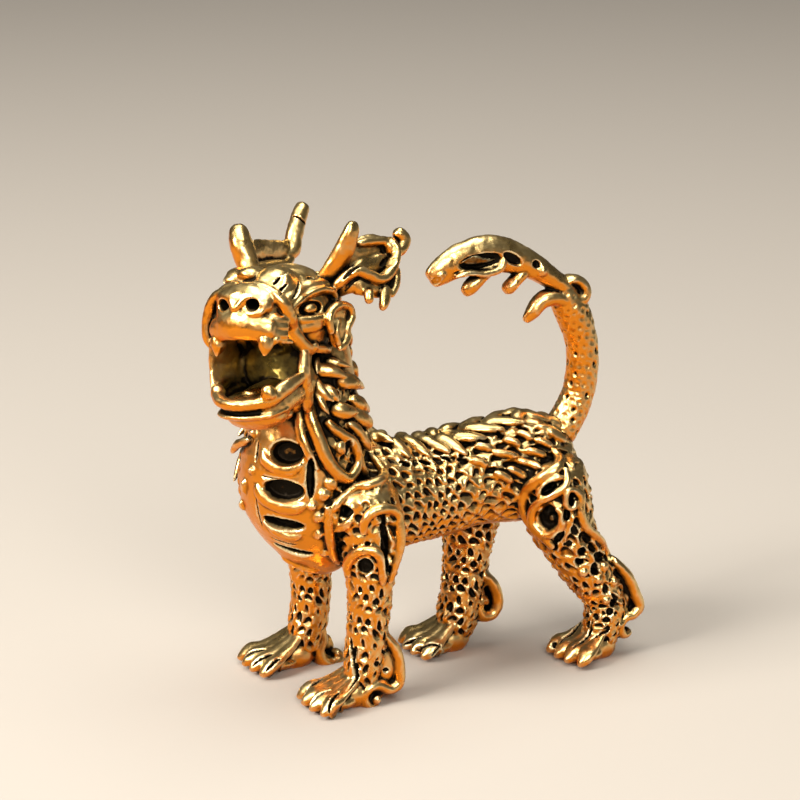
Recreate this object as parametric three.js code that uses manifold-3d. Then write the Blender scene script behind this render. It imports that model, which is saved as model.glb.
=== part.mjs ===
// Brass taotie ornament: one solid casting of a horned and scaled beast that stands on four paws.
// Millimetres. +Z is up, the beast faces -Y and its left side is +X.

import * as THREE from 'three';
import { mergeVertices } from 'three/addons/utils/BufferGeometryUtils.js';
import Module from 'manifold-3d';

const wasm = await Module();
wasm.setup();

// Driving sizes
const MIDDLE = { x: -0.65, y: -0.36 };       // middle of the whole figure, seen from above
const TRUNK = { axis: 19.9, wide: 5.3, tall: 5.5 };
const NECK = { x: 0, y: -12.2, wide: 6.4 };
const CHEST_TURN = 38;                       // degrees that the breast turns to the beast's left
const HEAD = { x: 1, y: -15.1, z: 41.3, turn: 27, lift: 12, roll: 9 };
const LEG = { thigh: 3.7, shin: 2.4 };
const PAW = { toe: 1.15, spread: 13, length: 4.2 };
const TAIL = { root: 2.2, middle: 1.75, end: 1.9 };
const RIDGE = 0.65;                          // radius of the raised cords on shoulder and haunch
const SCALES = { scales: 0.045, lean: 0.35 }; // rise as a share of the radius, lean as a share of a row

const UP = new THREE.Vector3(0, 0, 1);
const ACROSS = new THREE.Vector3(1, 0, 0);
const SIDES = [1, -1];
const degrees = THREE.MathUtils.degToRad;
const point = ([x, y, z]) => new THREE.Vector3(x, y, z);
const mirrored = (path) => path.map(([x, y, z]) => [-x, y, z]);

// A closed mesh as a solid that can be joined and cut
function solid(geometry) {
  geometry.deleteAttribute('normal');
  geometry.deleteAttribute('uv');
  const merged = mergeVertices(geometry);
  const vertProperties = new Float32Array(merged.attributes.position.array);
  const triVerts = new Uint32Array(merged.index.array);
  return new wasm.Manifold(new wasm.Mesh({ numProp: 3, vertProperties, triVerts }));
}

function geometryOf(body) {
  const mesh = body.getMesh();
  const geometry = new THREE.BufferGeometry();
  geometry.setAttribute('position', new THREE.BufferAttribute(new Float32Array(mesh.vertProperties), 3));
  geometry.setIndex(new THREE.BufferAttribute(new Uint32Array(mesh.triVerts), 1));
  return geometry;
}

const join = (bodies) => bodies.reduce((whole, body) => whole.add(body));

// The half width and half height that a list of sizes has at a share of the way along it.
// A single number stands for a round section.
function sizeAt(sizes, share) {
  const pair = (size) => (Array.isArray(size) ? size : [size, size]);
  const place = share * (sizes.length - 1);
  const low = Math.min(Math.floor(place), sizes.length - 2);
  const next = pair(sizes[low + 1]);
  return pair(sizes[low]).map((size, k) => size + (next[k] - size) * (place - low));
}

// Splits the net's squares so that every raised corner is the top of a four-sided scale
function scaleFacets(around, along) {
  const corners = [];
  for (let ring = 0; ring < along; ring += 1) {
    for (let step = 0; step < around; step += 1) {
      const near = ring * (around + 1) + step;
      const [a, b, c, d] = [near + 1, near, near + around + 1, near + around + 2];
      const raised = (step + ring) % 2 === 1;
      if (ring === 0) corners.push(b, c, d);
      else if (ring === along - 1) corners.push(a, b, d);
      else if (raised) corners.push(a, b, c, a, c, d);
      else corners.push(a, b, d, b, c, d);
    }
  }
  return corners;
}

// A closed round-ended form along a smooth centre line: a ball whose two poles are the line's ends.
// Where it has scales, every second corner of its net stands up and leans towards the line's end.
function limb({ path, sizes, around = 8, along = 6, ref = UP, blunt = 5, scales = 0, lean = 0, at }) {
  const line = new THREE.CatmullRomCurve3(path.map(point));
  const geometry = new THREE.SphereGeometry(1, around, along);
  const vertices = geometry.attributes.position;
  for (let k = 0; k < vertices.count; k += 1) {
    const step = k % (around + 1);
    const ring = Math.floor(k / (around + 1));
    const raised = (step + ring) % 2 === 1 && ring > 0 && ring < along;
    const place = ring + (raised ? lean : 0);
    const share = (1 - Math.cos((Math.PI * place) / along)) / 2;
    const swell = (1 - Math.abs(2 * share - 1) ** blunt) ** (1 / blunt);
    const tangent = line.getTangent(share);
    const side = ref.clone().cross(tangent).normalize();
    const rise = tangent.clone().cross(side);
    const [wide, tall] = sizeAt(sizes, share);
    const angle = (2 * Math.PI * (step % around)) / around;
    const bulge = swell * (1 + (raised ? scales : -scales));
    const vertex = line.getPoint(share);
    vertex.addScaledVector(side, -Math.cos(angle) * wide * bulge);
    vertex.addScaledVector(rise, Math.sin(angle) * tall * bulge);
    vertices.setXYZ(k, vertex.x, vertex.y, vertex.z);
  }
  if (scales) geometry.setIndex(scaleFacets(around, along));
  if (at) geometry.applyMatrix4(at);
  return solid(geometry);
}

// An egg-shaped lump
function lump(centre, [wide, deep, tall], { around = 10, along = 8, at, turn = 0 } = {}) {
  const geometry = new THREE.SphereGeometry(1, around, along);
  geometry.rotateX(Math.PI / 2);
  geometry.scale(wide, deep, tall);
  geometry.rotateZ(degrees(turn));
  geometry.translate(...centre);
  if (at) geometry.applyMatrix4(at);
  return solid(geometry);
}

// A spiral of points in the plane of two directions, from the rim inwards
function spiral({ centre, out, up, radius, turns, start, steps = 7, shrink = 0.75 }) {
  return Array.from({ length: steps }, (_, k) => {
    const share = k / (steps - 1);
    const angle = degrees(start + 360 * turns * share);
    const reach = radius * (1 - shrink * share);
    const [run, rise] = [reach * Math.cos(angle), reach * Math.sin(angle)];
    return centre.map((value, axis) => value + run * out[axis] + rise * up[axis]);
  });
}

// A direction seen from above, turned from straight ahead towards the beast's left
const heading = (angle) => new THREE.Vector3(Math.sin(degrees(angle)), -Math.cos(degrees(angle)), 0);

// The outer skin of a solid, for laying ridges and locks on it
function skinOf(body) {
  const mesh = new THREE.Mesh(geometryOf(body), new THREE.MeshBasicMaterial({ side: THREE.DoubleSide }));
  const caster = new THREE.Raycaster();
  const hit = (from, towards) => {
    caster.set(from, towards);
    const [first] = caster.intersectObject(mesh);
    return first.point;
  };
  return {
    side: (sign, y, z) => hit(new THREE.Vector3(sign * 40, y, z), new THREE.Vector3(-sign, 0, 0)),
    round: (angle, z, x = NECK.x, y = NECK.y) => {
      const out = heading(angle);
      return hit(new THREE.Vector3(x, y, z).addScaledVector(out, 40), out.negate());
    },
    top: (x, y) => hit(new THREE.Vector3(x, y, 80), new THREE.Vector3(0, 0, -1)),
  };
}

function trunk() {
  const { axis, wide, tall } = TRUNK;
  return limb({
    path: [
      [0, -14, axis + 0.4],
      [0, -7, axis - 0.2],
      [0, 0, axis - 0.6],
      [0, 6, axis - 0.1],
      [0, 13, axis + 0.1],
      [0, 17.7, axis + 0.9],
    ],
    sizes: [
      [wide + 0.8, tall + 1],
      [wide + 0.6, tall + 1],
      [wide - 0.3, tall - 0.1],
      [wide - 0.3, tall - 0.3],
      [wide + 0.3, tall + 0.4],
      4.2,
    ],
    around: 16,
    along: 13,
    blunt: 4,
    ...SCALES,
  });
}

function neck() {
  const { x, y, wide } = NECK;
  return limb({
    path: [
      [x, y + 1.4, 12.2],
      [x, y - 0.4, 17],
      [x + 0.2, y - 0.8, 22.5],
      [x + 0.3, y - 0.2, 28],
      [x + 0.6, y, 33],
      [x + 1, y - 0.6, 39],
    ],
    sizes: [[3.6, 3.4], [wide - 0.6, wide - 0.7], [wide + 0.2, wide], [wide - 0.6, wide - 0.5], 4.5, 4],
    around: 14,
    along: 8,
    ref: ACROSS,
    blunt: 4,
  });
}

function leg(path, sizes) {
  return limb({ path, sizes, around: 8, along: 8, ref: ACROSS, blunt: 6, ...SCALES });
}

function legs() {
  const { thigh, shin } = LEG;
  const fore = [[4.3, 4.6], [thigh, thigh + 0.2], [shin + 0.4, shin + 0.6], shin, shin];
  const hind = [[4.1, 4.8], [thigh - 0.3, thigh + 0.3], [shin + 0.2, shin + 0.5], shin - 0.1, shin];
  return join([
    leg([[4.2, -9.2, 22.6], [5.4, -8.2, 17.4], [5.7, -8.3, 12.4], [5.6, -8.6, 7.4], [5.6, -9.4, 1.6]], fore),
    leg([[-4.2, -9.6, 22.6], [-5.6, -9.6, 17.2], [-6.2, -9.9, 12], [-6.5, -9.5, 7.2], [-6.7, -10, 1.5]],
      fore),
    leg([[3.6, 13, 21.6], [5, 13.8, 15.8], [5.6, 16.4, 10.2], [5.6, 19.2, 5.8], [5.5, 18.4, 1.4]], hind),
    leg([[-3.4, 11.6, 21], [-4.2, 9.4, 15], [-3.8, 8.6, 10.2], [-3.4, 7.6, 6], [-3.4, 6.4, 1.4]], hind),
  ]);
}

// Four toes with claws fanned from the ankle, and a curled spur behind it
function paw({ x, y, turn }) {
  const { toe, spread, length } = PAW;
  const at = new THREE.Matrix4().makeRotationZ(degrees(turn)).setPosition(x, y, 0);
  const parts = [lump([0, 0.2, 1.5], [2.6, 3, 2], { around: 6, along: 4, at })];
  for (let k = 0; k < 4; k += 1) {
    const fan = degrees((k - 1.5) * spread);
    const reach = length - 0.35 * Math.abs(k - 1.5);
    const across = (k - 1.5) * 1.3;
    const splay = Math.sin(fan) * reach;
    const path = [
      [across * 0.5, -0.3, 2.6],
      [across * 0.9, -reach * 0.55, 2],
      [across + splay * 0.4, -reach, 0.9],
      [across + splay * 0.55, -reach - 1.3, 0.3],
    ];
    const sizes = [toe, toe, toe * 0.9, 0.4];
    parts.push(limb({ path, sizes, around: 4, along: 4, ref: ACROSS, blunt: 4, at }));
  }
  const curl = spiral({
    centre: [0, 3.3, 2.1],
    out: [0, 1, 0],
    up: [0, 0, 1],
    radius: 2,
    turns: -0.95,
    start: 120,
  });
  const path = [[0, 1.4, 5.4], ...curl];
  const sizes = [0.9, 0.9, 0.8, 0.75, 0.7];
  parts.push(limb({ path, sizes, around: 4, along: 7, ref: ACROSS, blunt: 6, at }));
  return join(parts);
}

function paws() {
  return join([
    paw({ x: 5.4, y: -9.4, turn: 0 }),
    paw({ x: -6.9, y: -9.8, turn: 0 }),
    paw({ x: 5.5, y: 18.6, turn: 8 }),
    paw({ x: -3.4, y: 6.2, turn: 0 }),
  ]);
}

// The tail rises from the rump and ends in a leaf of flame that lies forward over the back
function tail() {
  const { root, middle, end } = TAIL;
  const stem = limb({
    path: [[0, 14.4, 20.4], [0, 17.2, 23.8], [0, 19, 27.4], [0, 19.2, 32], [0, 17.8, 36],
      [0, 16.2, 38.6]],
    sizes: [root + 0.1, root, middle + 0.1, middle, end, end - 0.3],
    around: 6,
    along: 10,
    ref: ACROSS,
    blunt: 6,
    ...SCALES,
  });
  const leaf = limb({
    path: [[0, 17, 37.4], [0, 13.8, 40.6], [0, 10.4, 42.4], [0, 7, 42.9], [0, 4, 41.8], [0, 1.8, 39.9]],
    sizes: [[1.4, 1.2], [1.5, 1.2], [1.5, 1.2], [1.5, 1.2], [1.4, 1.1], [0.8, 0.7]],
    around: 6,
    along: 8,
    ref: ACROSS,
    blunt: 4,
  });
  const flame = (path, sizes) => limb({ path, sizes, around: 4, along: 4, ref: ACROSS, blunt: 4 });
  const licks = [
    flame([[0, 6.6, 42.2], [0.2, 5.6, 40.6], [0.3, 4.9, 39.1]], [[1, 0.9], [0.8, 0.7], 0.3]),
    flame([[0, 10.6, 41.8], [0.2, 10, 40.4], [0.3, 9.2, 39.2]], [1, 0.8, 0.35]),
    flame([[0, 15.4, 38.6], [0.4, 13.4, 38.3], [0.6, 12.2, 36.6], [0.6, 11.4, 34.8]],
      [[1.5, 1.4], [1.3, 1], [0.9, 0.8], 0.4]),
    flame([[0, 17, 37.6], [0.5, 15.9, 39.6], [0.7, 16.6, 40.6], [0.7, 17.4, 39.9]],
      [[1.2, 0.9], [0.9, 0.7], [0.7, 0.6], 0.5]),
    flame([[0, 16.8, 37], [0.6, 17.9, 38.2], [0.7, 18.9, 37.6], [0.6, 18.7, 36.6]],
      [[1.3, 1], [1, 0.8], [0.8, 0.7], 0.4]),
  ];
  return join([stem, leaf, ...licks]);
}

// The head is laid out level and facing ahead, then set on the neck
const headPlace = new THREE.Matrix4().makeRotationZ(degrees(HEAD.turn))
  .multiply(new THREE.Matrix4().makeRotationX(degrees(-HEAD.lift)))
  .multiply(new THREE.Matrix4().makeRotationY(degrees(-HEAD.roll)))
  .setPosition(HEAD.x, HEAD.y, HEAD.z);

const headLump = (centre, size, more) => lump(centre, size, { ...more, at: headPlace });
const headLimb = (form) => limb({ ...form, at: headPlace });

function bothSides(make) {
  return join(SIDES.map(make));
}

function skull() {
  return join([
    headLump([0, 0.6, -1.2], [4.7, 5, 4.6], { around: 10, along: 6 }),
    headLimb({ path: [[0, 0, -0.6], [0, -3.6, -0.6], [0, -7, -1.3]],
      sizes: [[4.2, 3.4], [3.7, 2.9], [3.6, 2.3]], around: 8, along: 5 }),
    headLump([0, -6.9, 0.2], [2.9, 1.4, 1.3], { around: 8, along: 5 }),
    headLump([0, -4.9, -10.3], [3.7, 3.9, 2], { around: 8, along: 5 }),
    headLump([0, 0.4, -8.2], [4, 4.2, 3.6], { around: 8, along: 5 }),
    headLimb({ path: [[-3.6, -6.4, -2.8], [0, -7.8, -2.2], [3.6, -6.4, -2.8]],
      sizes: [[1, 1.2], [1, 1.4], [1, 1.2]], around: 6, along: 6 }),
    headLimb({ path: [[-4, -0.6, -7.2], [-3.5, -6, -9.4], [0, -8.3, -10.1], [3.5, -6, -9.4],
      [4, -0.6, -7.2]], sizes: [[0.9, 0.8], [1, 0.9], 1.1, [1, 0.9], [0.9, 0.8]], around: 6, along: 9 }),
    headLimb({ path: [[-3.8, -2.6, -2.8], [-4.2, -2.4, -6], [-3.8, -2.4, -8.8]],
      sizes: [[4.4, 0.7], [4.2, 0.7], [4.4, 0.7]], around: 6, along: 4, ref: ACROSS }),
  ]);
}

function mouth() {
  return join([
    headLimb({ path: [[0, -11, -6.6], [0, -6, -6.5], [0, -0.2, -6.4]],
      sizes: [[3.4, 2.9], [3.4, 2.8], [3, 2.4]], around: 8, along: 6 }),
    headLimb({ path: [[0, -7.4, -6.5], [3.6, -5, -6.2], [7, -4.2, -6.2]],
      sizes: [[1.4, 2], [2.3, 2], [2.3, 1.9]], around: 8, along: 4 }),
    headLump([-1.75, -8, -0.1], [0.7, 1.3, 0.6], { around: 6, along: 4 }),
    headLump([1.75, -8, -0.1], [0.7, 1.3, 0.6], { around: 6, along: 4 }),
    headLump([5.2, -2, -0.7], [1.2, 1.9, 1], { around: 6, along: 4 }),
    headLump([-5.2, -2, -0.7], [1.2, 1.9, 1], { around: 6, along: 4 }),
  ]);
}

function face() {
  const form = (sign) => {
    const flip = (path) => (sign > 0 ? path : mirrored(path));
    return join([
      headLump([sign * 4.1, -1.9, -0.8], [0.9, 1, 0.8], { around: 6, along: 4 }),
      headLimb({ path: flip([[3.3, -4.3, -1.2], [4, -3, 0.1], [4.5, -1.2, 0.8], [5, 1.2, -0.4]]),
        sizes: [0.6, 0.75, 0.8, 0.45], around: 4, along: 5 }),
      headLimb({ path: flip([[2.8, -6.4, 1], [4.6, -6.2, -0.6], [5.1, -5.2, -3], [4.9, -3, -4.6],
        [5, 0.4, -4.9], [5.4, 3.2, -6]]), sizes: [0.5, 0.75, 0.85, 0.9, 0.6, 0.3], around: 4, along: 8 }),
      headLump([sign * 3.6, -0.8, -3.2], [1.7, 2.3, 1.5], { around: 6, along: 4 }),
      headLimb({ path: flip([[2.5, -7, -3.2], [2.7, -7.4, -4.4], [2.8, -7.5, -5.7]]),
        sizes: [0.9, 0.7, 0.2], around: 4, along: 4, ref: ACROSS }),
      headLimb({ path: flip([[3, -6.9, -9.2], [3, -7, -8.6], [2.9, -7, -7.8]]),
        sizes: [0.8, 0.6, 0.25], around: 4, along: 4, ref: ACROSS }),
    ]);
  };
  return bothSides(form);
}

function ears() {
  const form = (sign) => join([
    headLump([sign * 4.9, 2, -2.6], [0.9, 1.3, 2], { around: 6, along: 4 }),
    headLimb({ path: [[sign * 4.8, 0.7, -2.8], [sign * 5.4, 1.1, -1.2], [sign * 5.7, 2.4, -0.7],
      [sign * 5.6, 3.3, -2], [sign * 5.1, 2.6, -4.2]],
      sizes: [0.35, 0.55, 0.6, 0.55, 0.4], around: 4, along: 5 }),
  ]);
  return bothSides(form);
}

// Each antler has a front tine, a beam that runs back in a hanging web, and a tine that stands up behind
function antlers() {
  const form = (sign) => {
    const backTip = sign > 0 ? 6.6 : 9.2;
    const place = ([x, y, z]) => [sign * x, y, z];
    return join([
      headLimb({ path: [[3.4, 1.4, 0.6], [4.8, 1.7, 3], [6.2, 1.8, 5.4], [7.1, 1.7, 8]].map(place),
        sizes: [[1.1, 1.4], [1, 1.2], [0.95, 1.1], 0.9], around: 6, along: 5, ref: ACROSS }),
      headLimb({ path: [[3.6, 2.2, 1.4], [5, 4.6, 2.3], [5.8, 7.2, 2.9], [5.8, 9.8, 3.8],
        [5.4, 11.2, backTip]].map(place),
        sizes: [[1, 1.1], [0.9, 1.2], [0.8, 1.2], [0.8, 0.9], 0.8], around: 6, along: 8 }),
      headLimb({ path: [[5, 3.4, 2], [5.9, 5.8, 1.5], [6.2, 8.4, 2.4]].map(place),
        sizes: [[0.5, 1.3], [0.5, 1.7], [0.5, 1.2]], around: 6, along: 4 }),
      headLimb({ path: [[5.8, 5.2, 1.2], [6.3, 5.5, 0], [6.4, 5.3, -0.6]].map(place),
        sizes: [0.6, 0.55, 0.4], around: 4, along: 3, ref: ACROSS }),
      headLimb({ path: [[6, 7.2, 1.4], [6.4, 7.5, -0.4], [6.6, 7.3, -1.5]].map(place),
        sizes: [0.8, 0.75, 0.45], around: 4, along: 4, ref: ACROSS }),
    ]);
  };
  return bothSides(form);
}

// Pointed locks of hair in layers round the back of the neck
function mane(skin) {
  const locks = [];
  const layers = [
    { z: 36.6, fan: [40, 82] },
    { z: 33, fan: [20, 62, 92] },
    { z: 29.6, fan: [40, 80] },
    { z: 26.8, fan: [22] },
  ];
  for (const { z, fan } of layers) {
    for (const offset of fan.flatMap((angle) => [angle, -angle])) {
      const angle = 195 + offset;
      const away = heading(angle);
      const root = skin.round(angle, z).addScaledVector(away, -0.8);
      const middle = skin.round(angle, z - 1.8).addScaledVector(away, 0.5);
      const tip = skin.round(angle, z - 4.4).addScaledVector(away, 0.7);
      locks.push(limb({
        path: [root, middle, tip].map((place) => place.toArray()),
        sizes: [[2, 1], [1.7, 1], [0.2, 0.2]],
        around: 4,
        along: 4,
        ref: away,
        blunt: 3,
      }));
    }
  }
  return join(locks);
}

// Overlapping flame-shaped scales in two rows along the spine
function crest(skin) {
  const scales = [];
  for (let k = 0; k < 6; k += 1) {
    const y = -0.6 + 2.8 * k;
    for (const sign of SIDES) {
      const x = sign * 1.25;
      const root = skin.top(x, y);
      const tip = skin.top(x * 1.3, y + 3.4);
      root.z -= 0.3;
      tip.z += 0.3;
      const middle = root.clone().lerp(tip, 0.5);
      middle.z += 0.1;
      scales.push(limb({
        path: [root, middle, tip].map((place) => place.toArray()),
        sizes: [[1, 0.6], [1.1, 0.6], [0.2, 0.15]],
        around: 3,
        along: 3,
        blunt: 3,
      }));
    }
  }
  return join(scales);
}

// A raised cord laid on the side of the body through places given as distance back and height
function ridge(skin, sign, places, size = RIDGE) {
  const line = new THREE.SplineCurve(places.map(([y, z]) => new THREE.Vector2(y, z)));
  const path = line.getPoints(places.length * 2).map(({ x: y, y: z }) => {
    const place = skin.side(sign, y, z);
    place.x += sign * size * 0.6;
    return place.toArray();
  });
  const sizes = [0.7, 1, 1, 1, 0.7].map((share) => size * share);
  return limb({ path, sizes, around: 3, along: places.length + 1, blunt: 6 });
}

function ridges(skin) {
  const shoulder = [
    [[-6.6, 24], [-6.7, 22.4], [-8.6, 21.9], [-10.9, 21.3], [-11.6, 20], [-10.7, 19.2], [-9.6, 19.4]],
    [[-8.5, 18.9], [-7, 19.6], [-5.4, 18.6], [-5.6, 16], [-5.9, 13.2], [-6.2, 10.6]],
    [[-9.9, 14.6], [-8.9, 16], [-7.6, 15.6], [-7.4, 13.8], [-7.6, 11.8]],
  ];
  const haunch = [
    [[13.4, 21.9], [10.4, 20.4], [9.4, 18.6], [10.4, 16.2], [12.4, 14]],
    [[14, 20.9], [13.6, 19.4], [11.9, 18.4], [11.8, 16.9], [12.9, 16.2], [13.8, 17.2]],
  ];
  const plain = [...shoulder.slice(0, 2), haunch[0].map(([y, z]) => [y - 1.8, z])];
  return join([
    ...[...shoulder, ...haunch].map((places) => ridge(skin, 1, places)),
    ...plain.map((places) => ridge(skin, -1, places)),
  ]);
}

// The ladder of hollows down the breast
function ladder(skin) {
  const hollows = [
    { z: 26.9, wide: 1.8, tall: 1.2 },
    { z: 23.2, wide: 2.2, tall: 1.05 },
    { z: 19.7, wide: 2.4, tall: 0.9 },
    { z: 16.8, wide: 2.4, tall: 0.7 },
  ];
  return join(hollows.map(({ z, wide, tall }) => {
    const place = skin.round(CHEST_TURN, z);
    return lump(place.toArray(), [wide, 1.5, tall], { around: 8, along: 5, turn: CHEST_TURN });
  }));
}

// Cords that frame the throat, from the corners of the mouth to the shoulders
function throat(skin) {
  const cords = [
    [[58, 35.4], [56, 32], [60, 29], [68, 26.6], [84, 25]],
    [[62, 25], [64, 22], [66, 18.6], [62, 15]],
    [[12, 28.6], [8, 25], [4, 21], [4, 17]],
  ];
  return join(cords.map((places) => {
    const path = places.map(([angle, z]) => skin.round(angle, z).toArray());
    return limb({ path, sizes: [0.5, 0.7, 0.7, 0.6, 0.4], around: 3, along: 5, ref: ACROSS, blunt: 6 });
  }));
}

// Everything under the floor, which files the four soles flat
function ground() {
  const [width, depth] = [120, 20];
  const slab = new THREE.BoxGeometry(width, width, depth);
  slab.translate(0, 0, -depth / 2);
  return solid(slab);
}

const frame = join([trunk(), neck(), legs()]);
const skin = skinOf(frame);
const dress = [paws(), tail(), skull(), mane(skin), crest(skin), ridges(skin), throat(skin)];
const dressed = join([frame, ...dress]);
const carved = dressed.subtract(mouth()).subtract(ladder(skin));
const figure = join([carved, face(), ears(), antlers()]).subtract(ground());
const [casting] = figure.decompose().sort((a, b) => b.volume() - a.volume());

const geometry = geometryOf(casting);
geometry.translate(-MIDDLE.x, -MIDDLE.y, 0);
geometry.computeVertexNormals();

const brass = new THREE.MeshStandardMaterial({ color: 0xb98a3a, roughness: 0.32, metalness: 1 });
const taotie = new THREE.Mesh(geometry, brass);
taotie.name = 'taotie_figure';

const group = new THREE.Group();
group.add(taotie);

export default group;
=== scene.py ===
from math import cos, dist, pi, radians, sin

import bmesh
import bpy
import numpy as np
from mathutils import Matrix, Vector, noise
from mathutils.bvhtree import BVHTree


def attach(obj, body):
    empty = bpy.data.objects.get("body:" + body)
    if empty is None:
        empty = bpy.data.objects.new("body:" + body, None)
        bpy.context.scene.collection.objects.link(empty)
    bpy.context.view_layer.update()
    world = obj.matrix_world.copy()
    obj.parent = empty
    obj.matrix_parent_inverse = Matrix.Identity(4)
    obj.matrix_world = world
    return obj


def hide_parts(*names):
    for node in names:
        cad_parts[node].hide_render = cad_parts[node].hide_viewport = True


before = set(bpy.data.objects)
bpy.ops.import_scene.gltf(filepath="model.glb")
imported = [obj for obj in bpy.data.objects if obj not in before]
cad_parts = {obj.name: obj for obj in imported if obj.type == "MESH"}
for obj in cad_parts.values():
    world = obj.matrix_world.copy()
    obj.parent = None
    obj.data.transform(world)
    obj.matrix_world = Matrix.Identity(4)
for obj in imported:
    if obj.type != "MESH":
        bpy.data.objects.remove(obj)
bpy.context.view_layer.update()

# Camera
# It looks down on the left shoulder of the beast from in front of it. The carving is laid on the
# casting along its lines of sight, so the view comes first. Lengths are in millimetres until a
# finished piece is set in the frame.
AZIMUTH, ELEVATION = radians(62), radians(17)
DISTANCE = 330.0
AIM = Vector((-3.6, 0.0, 27.8))
FOCAL = 3257.0  # in pixels of a picture 800 pixels wide
PICTURE = 800
MIDDLE = Vector((0.65, 0.36, 0.0))  # moves the modelled figure to the middle of the frame
IN_FRAME = Matrix.Scale(0.001, 4) @ Matrix.Translation(MIDDLE)

backward = Vector((sin(AZIMUTH) * cos(ELEVATION), -cos(AZIMUTH) * cos(ELEVATION), sin(ELEVATION)))
rightward = Vector((cos(AZIMUTH), sin(AZIMUTH), 0))
upward = backward.cross(rightward)
eye = AIM + backward * DISTANCE


def placed(name, data):
    """A new object in the scene."""
    thing = bpy.data.objects.new(name, data)
    bpy.context.scene.collection.objects.link(thing)
    return thing


lens = bpy.data.cameras.new("view")
lens.sensor_width = 36
lens.lens = lens.sensor_width * FOCAL / PICTURE
lens.clip_start = 0.01
camera = placed("view", lens)
camera.location = IN_FRAME @ eye
camera.rotation_euler = (pi / 2 - ELEVATION, 0, AZIMUTH)
bpy.context.scene.camera = camera


def sight(x, y):
    """The direction of the line of sight through a place in the picture."""
    half = PICTURE / 2
    return (rightward * (x - half) + upward * (half - y) - backward * FOCAL).normalized()


# Trunk and hind legs
# The rear of the casting: a barrel trunk and two legs, run together. The wax was modelled with
# rows of overlapping scales, so each form carries its own rows of them.
FINE = 1.9  # facets a millimetre of the wax
UP, ACROSS = np.array((0, 0, 1.0)), np.array((1.0, 0, 0))


def along_line(points, share):
    """Places at shares of the way along a smooth line through the points."""
    ends = np.array(points, float)
    ends = np.vstack([2 * ends[0] - ends[1], ends, 2 * ends[-1] - ends[-2]])
    step = np.clip(share, 0, 1) * (len(points) - 1)
    low = np.minimum(step.astype(int), len(points) - 2)
    part = (step - low)[:, None]
    a, b, c, d = (ends[low + k] for k in range(4))
    pairs = (a, b), (b, c), (c, d)
    gaps = [np.sqrt(np.linalg.norm(q - p, axis=1, keepdims=True) + 1e-9) for p, q in pairs]
    start = ((b - a) / gaps[0] - (c - a) / (gaps[0] + gaps[1]) + (c - b) / gaps[1]) * gaps[1]
    end = ((c - b) / gaps[1] - (d - b) / (gaps[1] + gaps[2]) + (d - c) / gaps[2]) * gaps[1]
    return (b + start * part + (3 * (c - b) - 2 * start - end) * part ** 2
            + (2 * (b - c) + start + end) * part ** 3)


def unit(rows):
    """The rows, each made one long."""
    return rows / np.maximum(np.linalg.norm(rows, axis=1, keepdims=True), 1e-9)


def mesh_of(wax, name):
    mesh = bpy.data.meshes.new(name)
    wax.to_mesh(mesh)
    wax.free()
    return mesh


def pressed_on(wax, ball):
    """Adds a shaped ball to the rest of the wax."""
    mesh = mesh_of(ball, "ball")
    wax.from_mesh(mesh)
    bpy.data.meshes.remove(mesh)


def form(wax, path, sizes, around, along, ref, blunt=5, relief=None, place=None):
    """A ball bent along a line, with half widths and heights that change on the way, and relief."""
    ball = bmesh.new()
    bmesh.ops.create_uvsphere(ball, u_segments=around, v_segments=along, radius=1)
    net = np.array([v.co for v in ball.verts])
    share = np.clip((1 - net[:, 2]) / 2, 0, 1)
    angle = np.arctan2(net[:, 1], net[:, 0])
    swell = np.clip(1 - np.abs(2 * share - 1) ** blunt, 0, 1) ** (1 / blunt)
    step = 1e-3
    ahead = along_line(path, np.minimum(share + step, 1))
    behind = along_line(path, np.maximum(share - step, 0))
    tangent = unit(ahead - behind)
    if isinstance(ref, list):
        ref = along_line(ref, share)
    side = unit(np.cross(ref, tangent))
    rise = np.cross(tangent, side)
    pairs = [size if isinstance(size, (tuple, list)) else (size, size) for size in sizes]
    half = along_line(pairs, share) * swell[:, None]
    middle = along_line(path, share)
    out = rise * (np.sin(angle) * half[:, 1])[:, None] - side * (np.cos(angle) * half[:, 0])[:, None]
    if relief:
        out += unit(out) * (relief(share, angle, middle + out) * swell)[:, None]
    for vertex, co in zip(ball.verts, middle + out):
        vertex.co = place @ Vector(co) if place else co
    pressed_on(wax, ball)


def lump(wax, centre, size, around=16, along=10, place=None):
    """An egg-shaped lump."""
    shape = Matrix.Translation(centre) @ Matrix.Diagonal((*size, 1))
    ball = bmesh.new()
    bmesh.ops.create_uvsphere(ball, u_segments=around, v_segments=along, radius=1,
                              matrix=(place @ shape) if place else shape)
    pressed_on(wax, ball)


def chance(a, b):
    """An even number from 0 to 1 that is always the same for the same two whole numbers."""
    return (np.sin(a * 12.9898 + b * 78.233) * 43758.5453) % 1


def soft_step(value, low, high):
    """Rises smoothly from 0 at low to 1 at high."""
    part = np.clip((value - low) / (high - low), 0, 1)
    return part * part * (3 - 2 * part)


def pitted(down, across, deep, loose, columns=1e6, wide=0.36):
    """The relief of one net of scales: in each cell an arched pit, deep at its top, and a rim over it."""
    line = np.floor(down)
    offset = 0.5 * (line % 2)
    column = np.round(across - offset)
    luck, other = chance(line, column % columns), chance(column % columns, line + 7)
    u = (across - offset - column + (luck - 0.5) * loose * 0.5) / (wide * (1 + (other - 0.5) * loose))
    t = (down - line - 0.1 + (other - 0.5) * loose * 0.3) / (0.75 * (1 + (luck - 0.5) * loose * 0.4))
    arch = np.hypot(u, 1 - np.clip(t, 0, 1))
    inside = soft_step(1 - arch, 0, 0.28) * (t > 0) * (t < 1)
    rim = np.exp(-((arch - 1.2) / 0.2) ** 2) * soft_step(t, -0.2, 0.2) * (1 - soft_step(t, 0.7, 1))
    return deep * (0.4 * rim - inside * (1 - 0.8 * t) * (1 + (luck - 0.5) * loose))


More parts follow.
